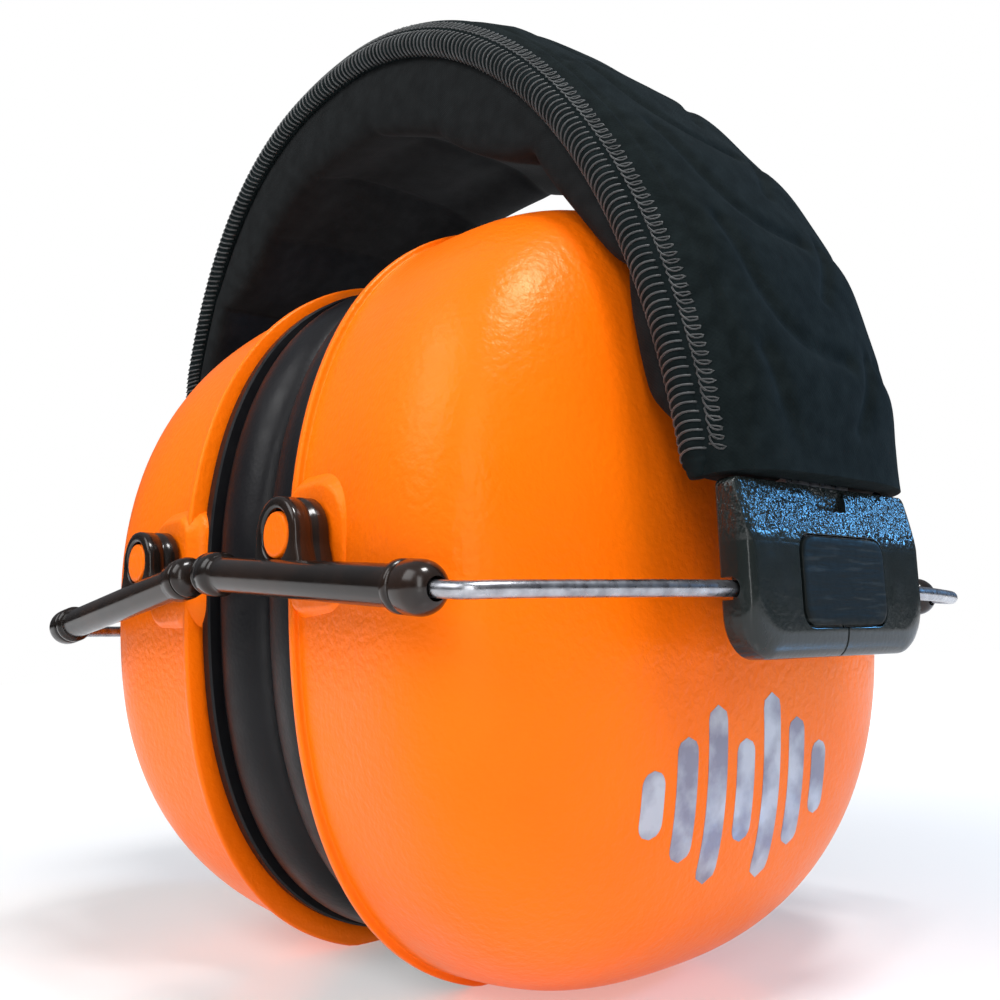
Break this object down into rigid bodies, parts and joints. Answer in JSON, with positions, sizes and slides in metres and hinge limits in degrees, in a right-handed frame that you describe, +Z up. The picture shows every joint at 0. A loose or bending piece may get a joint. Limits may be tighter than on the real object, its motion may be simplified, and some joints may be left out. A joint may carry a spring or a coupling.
{
  "type": "hearing protection earmuffs",
  "caption": "Folding over-head earmuffs: padded sprung headband, wire yokes in sliding sleeves and deep oval cups with soft cushions, shown folded.",
  "frame": {"origin": "on the surface that the cups stand on, under the middle of the whole folded object", "axes": "+Z up, from the cups' undersides to the headband's crown; +X towards the wearer's left ear; -Y towards the wearer's front"},
  "size_m": [0.1406, 0.1076, 0.151],
  "materials": {
    "cup_plastic": "orange moulded plastic, semi-gloss with a fine orange-peel texture",
    "cover_fabric": "near-black coated fabric, embossed lines, overlocked grey edge",
    "pad_lining": "soft dark grey lining over foam lobes",
    "spring_steel": "rolled spring strip",
    "box_plastic": "dark slate satin moulded plastic, lightly textured",
    "screw_steel": "zinc-plated",
    "wire_steel": "drawn spring wire, satin bright",
    "sleeve_plastic": "glossy brown-black moulded plastic",
    "absorber_foam": "open-cell foam",
    "plate_plastic": "black satin plastic",
    "cushion_foam": "soft open-cell foam",
    "cushion_vinyl": "smooth semi-gloss black vinyl"
  },
  "bodies": {
    "headband": {"band_cover": "cover_fabric", "band_pad": "pad_lining", "band_spring": "spring_steel", "end_box_left": "box_plastic", "end_panel_left": "box_plastic", "end_clamp_left": "box_plastic", "clamp_screw_left_front": "screw_steel", "clamp_screw_left_rear": "screw_steel", "end_box_right": "box_plastic", "end_panel_right": "box_plastic", "end_clamp_right": "box_plastic", "clamp_screw_right_front": "screw_steel", "clamp_screw_right_rear": "screw_steel"},
    "yoke_left": {"yoke_wire_left": "wire_steel", "wire_stop_left_front": "sleeve_plastic", "wire_stop_left_rear": "sleeve_plastic"},
    "sleeves_left": {"sleeve_left_front": "sleeve_plastic", "sleeve_left_rear": "sleeve_plastic", "sleeve_cap_left_front": "sleeve_plastic", "sleeve_cap_left_rear": "sleeve_plastic"},
    "cup_left": {"cup_shell_left": "cup_plastic", "foam_liner_left": "absorber_foam", "cushion_plate_left": "plate_plastic", "cushion_core_left": "cushion_foam", "cushion_skin_left": "cushion_vinyl"},
    "yoke_right": {"yoke_wire_right": "wire_steel", "wire_stop_right_front": "sleeve_plastic", "wire_stop_right_rear": "sleeve_plastic"},
    "sleeves_right": {"sleeve_right_front": "sleeve_plastic", "sleeve_right_rear": "sleeve_plastic", "sleeve_cap_right_front": "sleeve_plastic", "sleeve_cap_right_rear": "sleeve_plastic"},
    "cup_right": {"cup_shell_right": "cup_plastic", "foam_liner_right": "absorber_foam", "cushion_plate_right": "plate_plastic", "cushion_core_right": "cushion_foam", "cushion_skin_right": "cushion_vinyl"}
  },
  "joints": [
    {"name": "fold_left", "type": "hinge", "parent": "headband", "child": "yoke_left", "pos_m": [0.067, 0, 0.052], "axis": [0, -1, 0], "range_deg": [0, 90], "deforming": ["cushion_skin_left", "cushion_core_left"]},
    {"name": "slide_left", "type": "slide", "parent": "yoke_left", "child": "sleeves_left", "axis": [-0.9944, 0, 0.106], "range_m": [0, 0.024]},
    {"name": "tilt_left", "type": "hinge", "parent": "sleeves_left", "child": "cup_left", "pos_m": [0.0235, 0, 0.061], "axis": [0, -1, 0], "range_deg": [-90, 0]},
    {"name": "fold_right", "type": "hinge", "parent": "headband", "child": "yoke_right", "pos_m": [-0.0618, 0, 0.052], "axis": [0, 1, 0], "range_deg": [0, 90], "deforming": ["cushion_skin_right", "cushion_core_right"]},
    {"name": "slide_right", "type": "slide", "parent": "yoke_right", "child": "sleeves_right", "axis": [0.9944, 0, 0.106], "range_m": [0, 0.024]},
    {"name": "tilt_right", "type": "hinge", "parent": "sleeves_right", "child": "cup_right", "pos_m": [-0.0183, 0, 0.061], "axis": [0, 1, 0], "range_deg": [-90, 0]}
  ],
  "couplings": [
    {"joint": "slide_left", "follows": "fold_left", "m_per_rad": 0.01527},
    {"joint": "tilt_left", "follows": "fold_left", "ratio": -1},
    {"joint": "slide_right", "follows": "fold_right", "m_per_rad": 0.01527},
    {"joint": "tilt_right", "follows": "fold_right", "ratio": -1}
  ]
}
